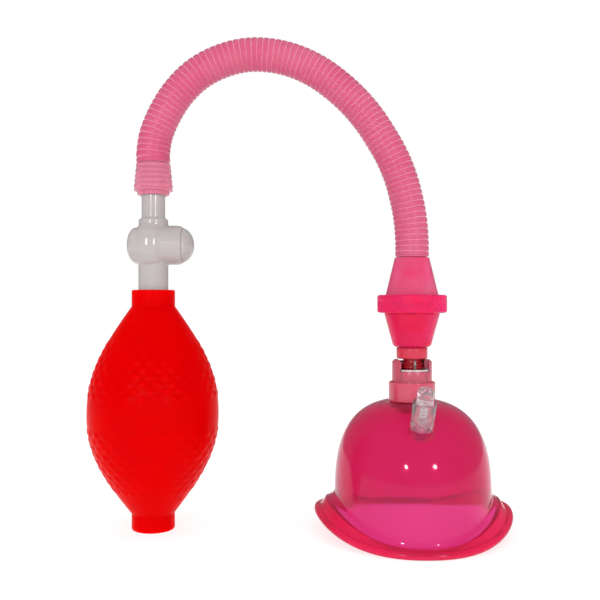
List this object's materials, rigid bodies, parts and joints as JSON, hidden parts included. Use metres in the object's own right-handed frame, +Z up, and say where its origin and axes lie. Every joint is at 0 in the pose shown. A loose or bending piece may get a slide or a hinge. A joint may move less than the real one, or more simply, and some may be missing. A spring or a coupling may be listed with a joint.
{
  "type": "hand bulb vacuum pump with suction cup",
  "caption": "Hand vacuum pump: red squeeze bulb with release valve, ribbed hose, check-valve coupling, quick-release socket and a soft suction cup with its own release valve.",
  "frame": {"origin": "middle of the pump's outline on the floor, under the bulb's tail and the cup's low rim", "axes": "+X from the bulb to the cup, +Y to the back, +Z up along the bulb's and the cup's axes; the cup's release valve faces -Y"},
  "size_m": [0.197, 0.1, 0.2287],
  "materials": {
    "bulb_rubber": "satin, grip bumps",
    "valve_plastic": "translucent white, smooth",
    "seal_rubber": "matte",
    "spring_steel": "bright drawn wire",
    "latch_steel": "bright stamped plate",
    "hose_plastic": "translucent pink, ribbed",
    "coupling_plastic": "translucent, moulded",
    "socket_plastic": "translucent, moulded",
    "cup_plastic": "transparent tinted, polished",
    "clear_plastic": "clear, polished"
  },
  "bodies": {
    "cup_assembly": {"cup": "cup_plastic", "neck_collar": "socket_plastic", "neck_nut": "socket_plastic", "socket_body": "socket_plastic", "latch_spring": "spring_steel", "lock_spring": "spring_steel", "shutoff_spring": "spring_steel", "cup_valve_barrel": "clear_plastic", "cup_valve_spring": "spring_steel", "cup_valve_seal": "seal_rubber"},
    "plug_seal": {"plug_o_ring": "seal_rubber"},
    "pump": {"plug_body": "socket_plastic", "coupling_upper_cone": "coupling_plastic", "coupling_lower_cone": "coupling_plastic", "coupling_ring": "coupling_plastic", "coupling_gasket": "seal_rubber", "check_seat": "valve_plastic", "hose": "hose_plastic", "hose_cuff": "hose_plastic", "valve_body": "valve_plastic", "inlet_check_retainer": "valve_plastic", "button_spring": "spring_steel", "squeeze_bulb": "bulb_rubber", "tail_valve_body": "valve_plastic", "tail_valve_retainer": "valve_plastic"},
    "release": {"release_button": "valve_plastic", "button_stem": "valve_plastic", "button_o_ring": "seal_rubber"},
    "latch": {"latch_plate": "latch_steel", "latch_button": "socket_plastic"},
    "lock": {"lock_pin": "latch_steel"},
    "shutoff": {"shutoff_poppet": "valve_plastic"},
    "cup_release": {"cup_valve_plunger": "clear_plastic"},
    "inlet_check": {"inlet_check_disc": "seal_rubber"},
    "tail_check": {"tail_valve_disc": "seal_rubber"},
    "line_check": {"check_ball": "seal_rubber"}
  },
  "joints": [
    {"name": "plug_lift", "type": "slide", "parent": "cup_assembly", "child": "plug_seal", "axis": [0, 0, 1], "range_m": [0, 0.02]},
    {"name": "pump_swivel", "type": "hinge", "parent": "plug_seal", "child": "pump", "pos_m": [0.05285, 0, 0.082], "axis": [0, 0, 1], "continuous": true},
    {"name": "release_press", "type": "slide", "parent": "pump", "child": "release", "axis": [-1, 0, 0], "range_m": [0, 0.0022], "stiffness_N_per_m": 900, "springref_m": -0.002, "deforming": ["button_spring"]},
    {"name": "latch_press", "type": "slide", "parent": "cup_assembly", "child": "latch", "axis": [0, 1, 0], "range_m": [0, 0.0006], "stiffness_N_per_m": 1500, "springref_m": -0.0004, "deforming": ["latch_spring"]},
    {"name": "lock_pin_rise", "type": "slide", "parent": "cup_assembly", "child": "lock", "axis": [0, 0, 1], "range_m": [0, 0.002], "deforming": ["lock_spring"]},
    {"name": "shutoff_rise", "type": "slide", "parent": "cup_assembly", "child": "shutoff", "axis": [0, 0, 1], "range_m": [0, 0.001], "deforming": ["shutoff_spring"]},
    {"name": "cup_release_press", "type": "slide", "parent": "cup_assembly", "child": "cup_release", "axis": [-0.0436, 0.4222, -0.9054], "range_m": [0, 0.002], "stiffness_N_per_m": 900, "springref_m": -0.002, "deforming": ["cup_valve_spring"]},
    {"name": "inlet_check_rise", "type": "slide", "parent": "pump", "child": "inlet_check", "axis": [0, 0, 1], "range_m": [0, 0.002]},
    {"name": "tail_check_rise", "type": "slide", "parent": "pump", "child": "tail_check", "axis": [0, 0, 1], "range_m": [0, 0.0015]},
    {"name": "line_check_rise", "type": "slide", "parent": "pump", "child": "line_check", "axis": [0, 0, 1], "range_m": [0, 0.0015]}
  ],
  "couplings": [
    {"joint": "lock_pin_rise", "follows": "plug_lift", "ratio": 0.1},
    {"joint": "shutoff_rise", "follows": "plug_lift", "ratio": 0.05}
  ]
}
